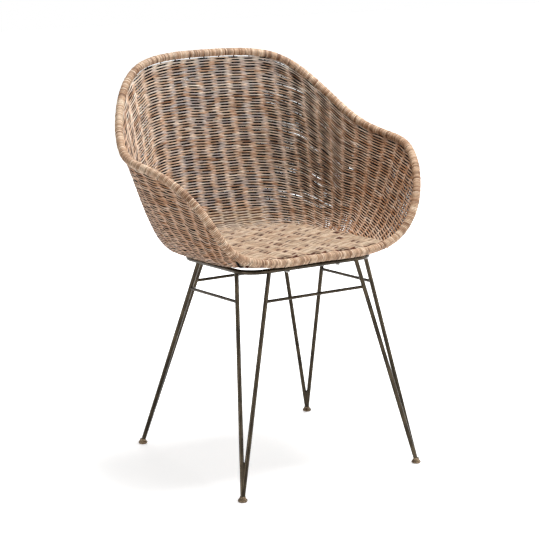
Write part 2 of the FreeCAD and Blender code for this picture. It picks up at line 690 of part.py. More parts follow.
# Seat panel: a woven mat laid over the hoop and the wall's inturned foot, trimmed where the wall rises
panelLift = hoopLift + size("hoopPole") / 2 + size("seatGap")
hipRear = size("ringDepth") / 2 + size("hoopOverhang") + size("hoopPole") / 2 + size("seatGap")
seatRear = hipRear + size("seatOverrun")
seatLip = size("frontMidY") + rimRadius + size("seatGap")
seatHalfWidth = size("ringWidth") / 2 + size("seatSideOverrun")
fallStart = -(size("ringDepth") + size("hoopPole")) / 2 - size("seatGap")


def seatPoint(x, along):
    # a grid wider than the outline, flat but for the fall of the front edge to the rim
    y = seatLip - rimRadius + along * (seatRear + 2 * rimRadius - seatLip)
    fall = max(fallStart - y, 0.0) / (fallStart - seatLip) if fallStart > seatLip else 0.0
    return raked(x, y, panelLift + size("seatThickness") / 2 - size("seatFrontFall") * fall ** 2)


upFromSeat = rakePlacement.multVec(vec(0, 0, 1))
halfBays = int(math.ceil(2 * (seatHalfWidth + rimRadius) / size("seatStakePitch")))
seatMarks = 24
seatLines = [[(seatPoint(bay * size("seatStakePitch") / 2, mark / (seatMarks - 1)), upFromSeat)
              for mark in range(seatMarks)] for bay in range(-halfBays, halfBays + 1)]
seatHalves = [size("seatThickness") / 2 if bay % 2 else size("seatBayThickness") / 2
              for bay in range(-halfBays, halfBays + 1)]
slab = doc.addObject("Part::Feature", "SeatSlab")
slab.Shape = ribbedPanel(seatLines, seatHalves)


def seatOutline():
    # plan of the panel: along the rim in front, straight sides, round rear corners
    clear = rimRadius + size("seatGap")
    half, rear = seatHalfWidth, seatRear - size("baseAhead")
    bend = size("hoopCorner") + half - size("ringWidth") / 2
    diagonal = bend * (1 - math.sqrt(0.5))
    front = []
    for index in range(-6, 7):
        share = index / 6 * size("rimStart") * 0.86
        place, along = rimPoint(share), rimPoint(share + 1e-4) - rimPoint(share - 1e-4)
        along.z = 0
        along.normalize()
        front.append(vec(place.x, place.y, 0) + vec(-along.y, along.x, 0) * clear)
    front = [place for place in front if abs(place.x) < half - 4]
    corner = vec(half, front[-1].y + size("seatCornerEase"), 0)
    lip = Part.BSplineCurve()
    lip.interpolate([vec(-corner.x, corner.y, 0)] + front + [corner])
    edges = [
        lip.toShape(),
        Part.LineSegment(corner, vec(half, rear - bend, 0)).toShape(),
        Part.Arc(vec(half, rear - bend, 0), vec(half - diagonal, rear - diagonal, 0),
                 vec(half - bend, rear, 0)).toShape(),
        Part.LineSegment(vec(half - bend, rear, 0), vec(bend - half, rear, 0)).toShape(),
        Part.Arc(vec(bend - half, rear, 0), vec(diagonal - half, rear - diagonal, 0),
                 vec(-half, rear - bend, 0)).toShape(),
        Part.LineSegment(vec(-half, rear - bend, 0), vec(-corner.x, corner.y, 0)).toShape(),
    ]
    return Part.Face(Part.Wire(Part.__sortEdges__(edges)))


outline = doc.addObject("Part::Feature", "SeatOutline")
outline.Shape = seatOutline().extrude(vec(0, 0, 2 * size("ringLevel")))
mat = doc.addObject("Part::Common", "SeatMat")
mat.Base = slab
mat.Tool = outline
wallClearance = doc.addObject("Part::Feature", "WallClearance")
wallClearance.Shape = wovenSheet(wallPoint, wallNormal, columns, rows,
                                 size("weaveThickness") + 2 * size("seatGap"))
keep("seat_weave", cutWith("SeatPanel", mat, wallClearance))

doc.recompute()

# Every object must have built, and every piece must be a sound solid
for item in doc.Objects:
    if "Invalid" in item.State or "Error" in item.State:
        raise RuntimeError("%s did not build: %s" % (item.Name, item.State))
for name, item in pieces.items():
    shape = item.Shape
    if shape.isNull() or not shape.isValid() or not shape.Solids:
        raise RuntimeError("%s is not a sound solid" % name)
    print("%-26s %2d solid  %10.1f mm3" % (name, len(shape.Solids), shape.Volume))

os.makedirs("parts", exist_ok=True)
for name, item in pieces.items():
    item.Shape.exportStep("parts/%s.step" % name)
print("%d pieces written" % len(pieces))
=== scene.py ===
# Woven tub armchair on a base of paired bronzed rods
import bpy
import math
import numpy as np
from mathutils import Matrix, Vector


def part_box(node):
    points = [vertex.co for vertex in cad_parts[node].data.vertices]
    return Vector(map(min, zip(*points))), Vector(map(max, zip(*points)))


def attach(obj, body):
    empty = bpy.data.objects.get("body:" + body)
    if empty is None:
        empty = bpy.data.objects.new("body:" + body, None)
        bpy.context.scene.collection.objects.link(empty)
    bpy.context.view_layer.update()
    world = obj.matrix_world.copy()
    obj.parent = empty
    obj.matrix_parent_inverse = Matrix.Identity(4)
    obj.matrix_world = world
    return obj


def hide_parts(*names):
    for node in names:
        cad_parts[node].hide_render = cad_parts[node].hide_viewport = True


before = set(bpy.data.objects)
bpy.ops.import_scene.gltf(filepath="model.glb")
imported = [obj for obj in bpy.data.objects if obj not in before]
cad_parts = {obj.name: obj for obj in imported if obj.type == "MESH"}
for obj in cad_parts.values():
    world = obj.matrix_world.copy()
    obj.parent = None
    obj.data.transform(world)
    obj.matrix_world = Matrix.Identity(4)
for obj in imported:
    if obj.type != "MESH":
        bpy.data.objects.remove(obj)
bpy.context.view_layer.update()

# Lengths in the dictionaries are millimetres, measured from the middle of the four feet, unless a
# note says otherwise. The frame's origin lies this far behind that middle.
baseAhead = 38.1
chance = np.random.default_rng(61)


def srgb(red, green, blue):
    # a screen colour, 0 to 255, as the linear colour that the shader wants
    value = np.array([red, green, blue]) / 255
    linear = np.where(value <= 0.04045, value / 12.92, ((value + 0.055) / 1.055) ** 2.4)
    return (*[float(channel) for channel in linear], 1.0)


def unit(vectors):
    # each vector over its own length
    return vectors / np.maximum(np.linalg.norm(vectors, axis=-1, keepdims=True), 1e-12)


def ramp(value, start, run):
    # (value - start) / run, kept between 0 and 1; a negative run goes the other way
    return np.clip((value - start) / run, 0, 1)


def everyOther(rows):
    # -1 and 1 by turns, one to each row
    return np.where(np.arange(rows) % 2, 1, -1)[:, None]


def smoothLoop(stations):
    # closed cubic through the stations, each span as long in the parameter as its chord; the second
    # slopes solve one ring of equations. Gives a function of the share of the way round.
    places = np.vstack([stations, stations[:1]])
    chord = np.linalg.norm(np.diff(places, axis=0), axis=1)
    count = len(chord)
    here = np.arange(count)
    ring = np.zeros((count, count))
    ring[here, here] = 2 * (chord + np.roll(chord, 1))
    ring[here, (here + 1) % count] += chord
    ring[here, (here - 1) % count] += np.roll(chord, 1)
    rise = np.diff(places, axis=0) / chord[:, None]
    bend = np.linalg.solve(ring, 6 * (rise - np.roll(rise, 1, axis=0)))
    knots = np.r_[0, np.cumsum(chord)]

    def at(share):
        t = (np.asarray(share, float) % 1.0) * knots[-1]
        k = np.clip(np.searchsorted(knots, t, side="right") - 1, 0, count - 1)
        before, after = (knots[k + 1] - t)[..., None], (t - knots[k])[..., None]
        span, low, high = chord[k][..., None], bend[k], bend[(k + 1) % count]
        return ((low * before ** 3 + high * after ** 3) / (6 * span)
                + (places[k] / span - low * span / 6) * before
                + (places[k + 1] / span - high * span / 6) * after)
    return at, float(knots[-1])


def addObject(name, data):
    thing = bpy.data.objects.new(name, data)
    bpy.context.scene.collection.objects.link(thing)
    return thing


def buildMesh(name, verts, quads, fans, along, tone, recess=None):
    # verts in millimetres from the base's middle; quads and fans are rows of vertex numbers;
    # along and tone go into the piece's own UV map, called strand, and recess into an attribute
    places = verts * 0.001
    places[:, 1] -= baseAhead * 0.001
    mesh = bpy.data.meshes.new(name)
    fanSize = fans.shape[1] if len(fans) else 0
    corners = np.concatenate([quads.ravel(), fans.ravel()]).astype(np.int32)
    starts = np.concatenate([np.arange(len(quads)) * 4, len(quads) * 4 + np.arange(len(fans)) * fanSize])
    mesh.vertices.add(len(places))
    mesh.vertices.foreach_set("co", places.ravel())
    mesh.loops.add(len(corners))
    mesh.loops.foreach_set("vertex_index", corners)
    mesh.polygons.add(len(starts))
    mesh.polygons.foreach_set("loop_start", starts.astype(np.int32))
    mesh.update(calc_edges=True)
    mesh.polygons.foreach_set("use_smooth", np.full(len(starts), True))
    layer = mesh.uv_layers.new(name="strand")
    layer.data.foreach_set("uv", np.stack([along[corners], tone[corners]], 1).ravel())
    if recess is not None:
        mesh.attributes.new("recess", "FLOAT", "POINT").data.foreach_set("value", recess.astype(np.float32))
    mesh.validate()
    print("  %-24s %7d triangles" % (name, len(quads) * 2 + len(fans) * max(fanSize - 2, 0)))
    return addObject(name, mesh)


def ringQuads(a, b):
    # quads between the rings of vertex numbers a and the rings b that follow them
    return np.stack([a, b, np.roll(b, -1, axis=1), np.roll(a, -1, axis=1)], 2).reshape(-1, 4)


# painted shade: how the recess is worked out, which sets how dark the reed's shade colour makes each spot
recessShade = {"backPower": 6, "flankLeast": 0.12, "flankMore": 0.65, "flankPower": 1.5}   # where recess is


def tubes(name, paths, facing, radius, keep, tones, wave, sides=6, wide=1.0, thick=1.0, flank=1.0):
    # Strands: paths[row, sample] are centre points, facing the direction square to the woven surface
    # there. A section is centre + radius (wide cos a * across + thick sin a * up), and wide may change
    # along it. keep says which samples exist, so one row may be several strands; every loose end gets
    # a cap. recess, how deep a spot lies in the weave, is (0.5 - 0.5 sin a * wave)^backPower
    # + flank (1 - |sin a|) (flankLeast + flankMore |wave|^flankPower); the material paints shade by it
    # on the strands' backs and flanks.
    rows, samples = paths.shape[:2]
    ahead = unit(np.gradient(paths, axis=1))
    across = unit(np.cross(ahead, facing))
    up = np.cross(across, ahead)
    turn = np.arange(sides) * 2 * np.pi / sides
    wide = np.broadcast_to(wide, (rows, samples))[:, :, None, None]
    ring = (wide * np.cos(turn)[:, None] * across[:, :, None, :]
            + thick * np.sin(turn)[:, None] * up[:, :, None, :])
    verts = paths[:, :, None, :] + ring * radius[:, :, None, None]
    step = np.linalg.norm(np.diff(paths, axis=1), axis=2)
    along = np.concatenate([np.zeros((rows, 1)), np.cumsum(step, axis=1)], axis=1) * 0.001
    number = np.arange(rows * samples * sides).reshape(rows, samples, sides)
    both = keep & np.roll(keep, -1, axis=1)
    both[:, -1] = False
    row, sample = np.nonzero(both)
    quads = ringQuads(number[row, sample], np.roll(number, -1, axis=1)[row, sample])
    starts = both & ~np.roll(both, 1, axis=1)
    ends = np.roll(both, 1, axis=1) & ~both
    fans = np.concatenate([number[starts], number[ends][:, ::-1]])
    used = np.unique(np.concatenate([quads.ravel(), fans.ravel()]))
    fresh = np.full(number.size, -1)
    fresh[used] = np.arange(len(used))
    lift = np.sin(turn)
    wave = wave[:, :, None]
    flank = np.broadcast_to(flank, (rows, samples))[:, :, None]
    beside = recessShade["flankLeast"] + recessShade["flankMore"] * np.clip(np.abs(wave), 0, 1) ** recessShade["flankPower"]
    depth = (np.clip(0.5 - 0.5 * lift * wave, 0, 1) ** recessShade["backPower"]
             + flank * (1 - np.abs(lift)) * beside)
    spread, shade, depth = [np.broadcast_to(values, number.shape).reshape(-1)[used]
                            for values in (along[:, :, None], tones[:, None, None], depth)]
    return buildMesh(name, verts.reshape(-1, 3)[used], fresh[quads], fresh[fans], spread, shade, depth)


def plug(tree, node, inputs):
    # each input of a shader node gets a link where a socket is given, and otherwise the value
    for title, value in inputs.items():
        if isinstance(value, bpy.types.NodeSocket):
            tree.links.new(value, node.inputs[title])
        else:
            node.inputs[title].default_value = value


def addNode(tree, kind, inputs, **settings):
    # one node, its settings before its inputs; the functions below add one each and give its output
    node = tree.nodes.new("ShaderNode" + kind)
    for title, value in settings.items():
        setattr(node, title, value)
    plug(tree, node, inputs)
    return node


def maths(tree, operation, *values, clamp=False):
    return addNode(tree, "Math", dict(enumerate(values)), operation=operation, use_clamp=clamp).outputs[0]


def remap(tree, value, source=(0.0, 1.0), target=(0.0, 1.0), smooth=False):
    # source's two ends go to target's two ends, straight or eased, and nothing goes past them
    ends = {"From Min": source[0], "From Max": source[1], "To Min": target[0], "To Max": target[1]}
    easing = "SMOOTHSTEP" if smooth else "LINEAR"
    return addNode(tree, "MapRange", {"Value": value, **ends}, interpolation_type=easing).outputs[0]


def mix(tree, factor, first, second, blend="MIX"):
    inputs = {"Factor": factor, "A": first, "B": second}
    return addNode(tree, "Mix", inputs, data_type="RGBA", blend_type=blend).outputs["Result"]


def noise(tree, place, scale, detail):
    return addNode(tree, "TexNoise", {"Vector": place, "Scale": scale, "Detail": detail}).outputs["Fac"]


def objectPlace(tree):
    return addNode(tree, "TexCoord", {}).outputs["Object"]


def bump(tree, height, strength, distance):
    inputs = {"Height": height, "Strength": strength, "Distance": distance}
    return addNode(tree, "Bump", inputs).outputs["Normal"]


def newGroup(name, inputs):
    # a group that puts out colour, roughness and height
    group = bpy.data.node_groups.new(name, "ShaderNodeTree")
    for title, kind, value in inputs:
        socket = group.interface.new_socket(name=title, in_out="INPUT", socket_type="NodeSocket" + kind)
        if value is not None:
            socket.default_value = value
    for title, kind in (("Color", "Color"), ("Roughness", "Float"), ("Height", "Float")):
        group.interface.new_socket(name=title, in_out="OUTPUT", socket_type="NodeSocket" + kind)
    return group, group.nodes.new("NodeGroupInput").outputs, group.nodes.new("NodeGroupOutput")


reed = {
    "patches": 30.0, "streaks": 210.0, "hues": 24.0, "drifts": 9.0,   # noise scales
    "apart": 173.0,                      # how far one strand's noise lies from the next one's
    "streak": 0.22,                      # what the fine streaks add to the tone
    "hueShift": (3.7, 51.3, 8.1),        # so that hue and tone don't change together
    "grey": (0.53, 0.41), "warm": (0.52, 0.66),   # hue noise where each begins and is full
    "drift": (0.35, 0.65), "driftLeast": 0.45,
    "rear": (0.02, 0.19), "rearLeast": 0.18,      # metres: greying grows towards the back
    "side": (0.10, 0.21), "sideLeast": 0.3,       # metres: and falls off towards both sides
    "roughness": (0.38, 0.66),
    "relief": (0.35, 0.0004),            # the bump's strength, and its distance in metres
}


def reedGroup():
    # Colour of one round reed: dark to middle to light by tone = the strand's own tone + contrast
    # (patch - 0.5) + a little streak. Some stretches are reddish, and the front turns browner. Some
    # are greyed, by hue * drift * side * rear. Painted shade darkens what lies deep in the weave and
    # on the strands' flanks, more as the recess grows. Height is the streaks' own relief.
    group, given, out = newGroup("reedSkin", (
        ("Light", "Color", None), ("Middle", "Color", None), ("Dark", "Color", None),
        ("Grey", "Color", None), ("Warm", "Color", None), ("Warming", "Float", 0.5),
        ("Browning", "Float", 0.0), ("Strand", "Vector", None), ("Place", "Vector", None),
        ("Greying", "Float", 0.35), ("Contrast", "Float", 0.6), ("Recess", "Float", 0.0),
        ("Painted Shade", "Color", None), ("Painted Shade From", "Float", 0.5), ("Painted Shade To", "Float", 0.95),
    ))
    strand = addNode(group, "SeparateXYZ", {0: given["Strand"]}).outputs
    lane = maths(group, "MULTIPLY", strand["Y"], reed["apart"])
    spot = addNode(group, "CombineXYZ", {"X": strand["X"], "Y": lane}).outputs[0]
    patch = noise(group, spot, reed["patches"], 2.0)
    streak = noise(group, spot, reed["streaks"], 2.0)
    tone = maths(group, "MULTIPLY", maths(group, "SUBTRACT", patch, 0.5), given["Contrast"])
    tone = maths(group, "ADD", tone, strand["Y"])
    tone = maths(group, "MULTIPLY_ADD", streak, reed["streak"], tone)
    tone = maths(group, "SUBTRACT", tone, reed["streak"] / 2, clamp=True)
    colour = mix(group, remap(group, tone, (0.0, 0.5)), given["Dark"], given["Middle"])
    colour = mix(group, remap(group, tone, (0.5, 1.0)), colour, given["Light"])

    hueSpot = addNode(group, "VectorMath", {0: spot, 1: reed["hueShift"]}, operation="ADD").outputs[0]
    hue = noise(group, hueSpot, reed["hues"], 1.0)
    drift = noise(group, given["Place"], reed["drifts"], 4.0)
    place = addNode(group, "SeparateXYZ", {0: given["Place"]}).outputs
    aside = maths(group, "ABSOLUTE", place["X"])
    rear = remap(group, place["Y"], reed["rear"], (reed["rearLeast"], 1.0))
    grey = remap(group, hue, reed["grey"])
    for factor in (remap(group, drift, reed["drift"], (reed["driftLeast"], 1.0)),
                   remap(group, aside, reed["side"], (1.0, reed["sideLeast"])), rear, given["Greying"]):
        grey = maths(group, "MULTIPLY", grey, factor)
    warm = maths(group, "MULTIPLY", remap(group, hue, reed["warm"]), given["Warming"])
    front = maths(group, "SUBTRACT", 1.0, rear)
    warm = maths(group, "MULTIPLY_ADD", front, given["Browning"], warm, clamp=True)
    colour = mix(group, warm, colour, given["Warm"])
    colour = mix(group, grey, colour, given["Grey"])

    # painted shade: the recess pulls the colour towards the shade colour
    deep = remap(group, given["Recess"], (given["Painted Shade From"], given["Painted Shade To"]), smooth=True)
    colour = mix(group, deep, colour, given["Painted Shade"], blend="MULTIPLY")
    rough = remap(group, patch, target=reed["roughness"])
    plug(group, out, {"Color": colour, "Roughness": rough, "Height": streak})
    return group


film = {
    "blotches": 38.0, "specks": 420.0,   # noise scales
    "speck": 0.35,                       # what the specks add to the blotches
    "worn": (0.55, 0.95),                # sum where the film begins to be thin and is thinnest
    "roughness": (0.18, 0.34), "relief": (0.12, 0.0003),
}


def metalGroup():
    # bronzed steel: a dark film that is thin and warm in places, by blotch + speck * share, with a
    # fine grain in its height
    group, given, out = newGroup("bronzeFilm", (
        ("Film", "Color", None), ("Worn", "Color", None), ("Place", "Vector", None), ("Wear", "Float", 0.3)))
    blotch = noise(group, given["Place"], film["blotches"], 5.0)
    speck = noise(group, given["Place"], film["specks"], 3.0)
    both = maths(group, "MULTIPLY_ADD", speck, film["speck"], blotch)
    share = maths(group, "MULTIPLY", remap(group, both, film["worn"]), given["Wear"])
    colour = mix(group, share, given["Film"], given["Worn"])
    rough = remap(group, blotch, target=film["roughness"])
    plug(group, out, {"Color": colour, "Roughness": rough, "Height": speck})
    return group


reedSkin = reedGroup()
bronzeFilm = metalGroup()


def newMaterial(name):
    material = bpy.data.materials.new(name)
    material.use_nodes = True
    tree = material.node_tree
    return material, tree, tree.nodes["Principled BSDF"]


def skinMaterial(name, group, looks, relief):
    # The group's colour, roughness and height go to the shader. A look is set on the group's input
    # of that name, or else on the shader's own.
    material, tree, shader = newMaterial(name)
    skin = addNode(tree, "Group", {"Place": objectPlace(tree)}, node_tree=group)
    for title, value in looks.items():
        owner = skin if title in skin.inputs else shader
        owner.inputs[title].default_value = value
    plug(tree, shader, {"Base Color": skin.outputs["Color"], "Roughness": skin.outputs["Roughness"],
                        "Normal": bump(tree, skin.outputs["Height"], *relief)})
    return material, tree, skin


def reedMaterial(name, looks):
    # wicker: the reed skin on the strand's own UV map and the recess, which places its painted shade; its
    # drift on object coordinates
    material, tree, skin = skinMaterial(name, reedSkin, looks, reed["relief"])
    strand = addNode(tree, "UVMap", {}, uv_map="strand").outputs["UV"]
    deep = addNode(tree, "Attribute", {}, attribute_name="recess").outputs["Fac"]
    plug(tree, skin, {"Strand": strand, "Recess": deep})
    return material


def metalMaterial(name, looks):
    # bronze film on object coordinates
    return skinMaterial(name, bronzeFilm, looks, film["relief"])[0]


def dress(piece, material):
    piece.data.materials.clear()
    piece.data.materials.append(material)


rim = {
    # centre line of the rim's left half, from the middle of the front to the middle of the back
    "stations": np.array([
        (0, -166, 459), (120, -164, 460), (198, -158, 485), (233, -152, 526), (257, -132, 570),
        (302, -44, 634), (317, 20, 647), (300, 109, 665), (255, 202, 731), (172, 268, 806),
        (90, 281, 822), (0, 285, 824)], float),
    "radius": 8.3,
    "wallFrom": 0.100,                   # share of the way round where the wall begins
}
tub = {
    # the hoop that the wall stands on is a rounded rectangle, raked back (degrees) with the ring
    "hoopHalfWidth": 162.3, "hoopHalfDepth": 170.3, "hoopMiddle": 30.0, "hoopBend": 95.3,
    "ringLevel": 430.0, "hoopLift": 12.3, "rake": 3.26,
    "bellySide": 82.0, "bellyBack": 34.0,     # how far the wall goes straight out from the hoop
    "bellyFar": 0.5, "bellyTall": 0.12,       # at most these shares of its reach and height, added
    "riseSide": 52.0, "riseBack": 110.0, "riseMost": 0.5,   # how far it comes straight down from the rim
    "leanSide": 0.555, "leanBack": 0.021,     # slope there
}
stations = rim["stations"]
rimAt, rimLength = smoothLoop(np.vstack([stations, stations[-2:0:-1] * [-1, 1, 1]]))


def raked(x, y, above):
    # point over the ring's tilted plane: x, y cos + above sin, level - y sin + above cos of the rake
    tilt = math.radians(tub["rake"])
    return np.stack([x + 0 * y, y * math.cos(tilt) + above * math.sin(tilt),
                     tub["ringLevel"] - y * math.sin(tilt) + above * math.cos(tilt)], -1)


def wallGrid(across, up):
    # across: shares of the wall's width from its front left edge round to the front right one.
    # Each upright line is a cubic with four poles: the hoop's edge, a belly pole straight out from
    # it, a pole down from the rim along the wall's lean, and the rim's centre.
    top = rimAt(rim["wallFrom"] + across * (1 - 2 * rim["wallFrom"]))
    middle = raked(np.zeros(1), np.array([tub["hoopMiddle"]]), tub["hoopLift"])[0]
    aim = (top - middle)[:, :2]
    size = np.abs(aim)
    wide, deep, bend = tub["hoopHalfWidth"], tub["hoopHalfDepth"], tub["hoopBend"]
    flat = size * np.minimum(wide / np.maximum(size[:, 0], 1e-9),
                             deep / np.maximum(size[:, 1], 1e-9))[:, None]
    inner = np.array([wide - bend, deep - bend])
    along, length = size @ inner, (size ** 2).sum(1)
    reach = (along + np.sqrt(np.maximum(along ** 2 - length * (inner @ inner - bend ** 2), 0))) / length
    rounded = (flat > inner).all(1)
    flat[rounded] = (size * reach[:, None])[rounded]
    foot = flat * np.sign(aim)
    hip = raked(foot[:, 0], foot[:, 1] + tub["hoopMiddle"], tub["hoopLift"])
    out = (top - hip) * [1, 1, 0]
    far = np.linalg.norm(out, axis=1)
    out = unit(out)
    back = np.clip(out[:, 1], 0, 1) ** 2

    def blend(key):
        return tub[key + "Side"] + (tub[key + "Back"] - tub[key + "Side"]) * back
    rise = top[:, 2] - hip[:, 2]
    belly = np.minimum(blend("belly"), tub["bellyFar"] * far + tub["bellyTall"] * rise)
    upper = np.minimum(blend("rise"), tub["riseMost"] * rise)
    second = hip + out * belly[:, None]
    second[:, 2] -= math.tan(math.radians(tub["rake"])) * out[:, 1] * belly
    third = top + unit(-out * blend("lean")[:, None] - [0, 0, 1]) * upper[:, None]
    v = up[None, :, None]
    return (hip[:, None] * (1 - v) ** 3 + second[:, None] * 3 * v * (1 - v) ** 2
            + third[:, None] * 3 * v ** 2 * (1 - v) + top[:, None] * v ** 3)


weave = {
    "stakes": 40, "samples": 8,          # stakes round the wall, samples from one to the next
    "pitch": 2.95,                       # from row to row
    "strand": 1.75, "stake": 1.4,        # radii
    "thick": 0.84,                       # strands are pressed flat to this share of their radius
    "wideBack": 1.08, "wideArms": 1.40, "wideLoose": 1.06,        # and as wide as this across
    "flankBack": 1.1, "flankArms": 1.4, "flankMoreLoose": 1.1,    # painted shade on the strands' flanks
    "swing": 2.3, "swingMoreLoose": 0.3,    # how far a strand leaves the wall's middle at a stake
    "swingEnding": (1.5, 0.2),           # and what is left of it where a row fades: times weight, least
    "square": 0.06,                      # share of the third wave, which squares the crests a little
    "slot": 0.1, "openSlot": 1.9,        # slot between the top row and the rim: elsewhere, along the back
    "openAbove": (775.0, 25.0), "openAside": (125.0, -30.0),      # rim's height and x: start and run
    "steer": 0.55,                       # share of the height where stakes keep their place on the lines
    "drift": 0.024, "driftNone": 0.8,    # how far stakes lean to the chair's left on the way down
    "descent": 0.22,                     # how steeply rows fall towards the front of the arms
    "armRear": 110.0, "armFront": -30.0,
    "fade": 0.7, "endStray": 3.0,        # a row ends over this share of a stake's distance, and strays
    "endWeight": 0.3, "lowest": 1.0, "overRim": 3.0,              # where strands are cut off
    "wander": 0.19, "thickness": 0.07, "lumps": 0.02, "stagger": 0.3,   # unevenness of the strands
    "looseFrom": 0.25, "looseTo": 0.41, "loose": 0.62,  # stretch of the chair's left where rows stray
    "strayUp": (0.16, 0.12),                            # above this share of the height: start and run
    "thinAcross": (0.22, 0.30, 0.36, 0.42), "thinUp": (0.1625, 0.125),   # and where strands are thinner
    "armsAcross": (0.10, 0.24, 0.54, 0.64, 1.0), "armsShare": (1, 0, 0, 1, 1),
    "tone": 0.52, "toneSpread": 0.14, "topTone": 0.86, "topRows": 3,
    "stakeTones": (0.1, 0.6), "stakeThickness": 0.04,
    "bands": 4,                          # pieces that the rows are shared out to
}

columns = weave["stakes"] * weave["samples"] + 1
half = columns // 2
shares = np.linspace(0, 1, columns)
ups = np.linspace(0, 1, 121)
fineShares = np.linspace(0, 1, 1601)
fineSurface = wallGrid(fineShares, ups)


def steered():
    # The back's stakes stand in upright planes, while the surface's own lines fan out upwards. So a
    # stake's share of the width is 0.5 + s (1 + k(v) (1 - 4 s^2)^2) - drift, where s is its distance
    # from the middle and k(v) evens out the lines' spacing at the height v.
    middle = len(fineShares) // 2
    step = len(fineShares) // weave["stakes"]
    spread = np.abs(fineSurface[middle + step, :, 0] - fineSurface[middle - step, :, 0])
    gain = spread[int(weave["steer"] * (len(ups) - 1))] / spread - 1
    s = shares - 0.5
    near = (1 - 4 * s ** 2) ** 2
    share = 0.5 + s[:, None] * (1 + gain[None, :] * near[:, None])
    share = share - weave["drift"] * (weave["driftNone"] - ups)[None, :] * near[:, None]
    spot = np.clip(share, 0, 1) * (len(fineShares) - 1)
    low = np.minimum(spot.astype(int), len(fineShares) - 2)
    part = (spot - low)[..., None]
    column = np.arange(len(ups))[None, :]
    return fineSurface[low, column] * (1 - part) + fineSurface[low + 1, column] * part


surface = steered()
outward = unit(np.cross(np.gradient(surface, axis=0), np.gradient(surface, axis=1)))
if outward[half, len(ups) // 2, 1] < 0:
    outward = -outward
climbStep = np.linalg.norm(np.diff(surface, axis=1), axis=2)
climb = np.concatenate([np.zeros((columns, 1)), np.cumsum(climbStep, axis=1)], 1)
height = climb[:, -1]
rimHere = surface[:, -1]
print("wall heights, back %.0f, arm %.0f, front %.0f mm" % (height[half], height[columns // 6], height[0]))


def onWall(climbed):
    # climbed[row, column] is a distance up each upright line; gives the point there, straight
    # between the line's two nearest points, and the outward direction
    lift = np.arange(columns) * 4000.0   # more than any climb, so that one search serves all lines
    flatClimb = (climb + lift[:, None]).ravel()
    spot = np.searchsorted(flatClimb, (np.clip(climbed, 0.001, None) + lift).ravel())
    spot = np.clip(spot.reshape(climbed.shape) - np.arange(columns) * len(ups), 1, len(ups) - 1)
    column = np.broadcast_to(np.arange(columns), climbed.shape)
    low, high = climb[column, spot - 1], climb[column, spot]
    share = np.clip((climbed - low) / np.maximum(high - low, 1e-9), 0, 1)[..., None]
    place = surface[column, spot - 1] * (1 - share) + surface[column, spot] * share
    facing = outward[column, spot - 1] * (1 - share) + outward[column, spot] * share
    return place, unit(facing)


def wallRows():
    # A row's climb is room * (weights below it + half its own) / all weights - sink + wander. Rows
    # lie a pitch apart and follow the rim round back and arms; where the wall is lower, pairs of rows
    # have ended on the way, their weight fading from 1 to 0. Towards the arms' front the rows sink
    # into the seat's edge below and run out against the falling rim above.
    sink = weave["descent"] * np.clip(weave["armRear"] - rimHere[:, 1], 0, None)
    opening = ramp(rimHere[:, 2], *weave["openAbove"]) * ramp(rimHere[:, 0], *weave["openAside"])
    room = height - rim["radius"] - weave["slot"] - (weave["openSlot"] - weave["slot"]) * opening + sink
    crest = rimHere[:, 1] > weave["armFront"]
    first, last = np.flatnonzero(crest)[[0, -1]]
    room[:first], room[last + 1:] = room[first], room[last]
    wanted = room / weave["pitch"]
    pairs = int(round(wanted.max() / 2))
    fewest = int(round(wanted[crest].min() / 2))
    endingPairs = np.unique(np.linspace(1, pairs - 2, pairs - fewest).round().astype(int))
    order = chance.permutation(len(endingPairs))
    weight = np.ones((pairs, columns))
    spread = weave["fade"] * weave["samples"]
    for pair, rank in zip(endingPairs, order):
        goal = 2 * (pairs - rank - 0.5)
        for side in (1, -1):
            line = wanted[half::side]
            stop = np.argmax(line < goal) if (line < goal).any() else len(line)
            shift = np.arange(len(line)) - stop - chance.uniform(-weave["endStray"], weave["endStray"])
            weight[pair, half::side] = np.clip(0.5 - shift / (2 * spread), 0, 1)
    weight = np.repeat(weight, 2, axis=0)
    below = np.cumsum(weight, axis=0) - weight / 2
    climbed = room * below / weight.sum(0) - sink
    rows = len(weight)
    knotPlace = (np.arange(weave["stakes"] + 3) - 1) / weave["stakes"]
    middle = (weave["looseFrom"] + weave["looseTo"]) / 2
    reach = (weave["looseTo"] - weave["looseFrom"]) / 2
    astray = np.exp(-((knotPlace - middle) / reach) ** 2)
    aloft = ramp(np.arange(rows) / rows, *weave["strayUp"])[:, None]
    unrest = weave["wander"] + weave["loose"] * astray * aloft
    knots = chance.normal(0, 1, (rows, weave["stakes"] + 3)) * unrest
    spots = shares * weave["stakes"] + 1
    low = np.floor(spots).astype(int)
    high = np.minimum(low + 1, weave["stakes"] + 2)
    part = spots - low
    ease = part * part * (3 - 2 * part)
    climbed = climbed + knots[:, low] * (1 - ease) + knots[:, high] * ease
    return climbed, weight


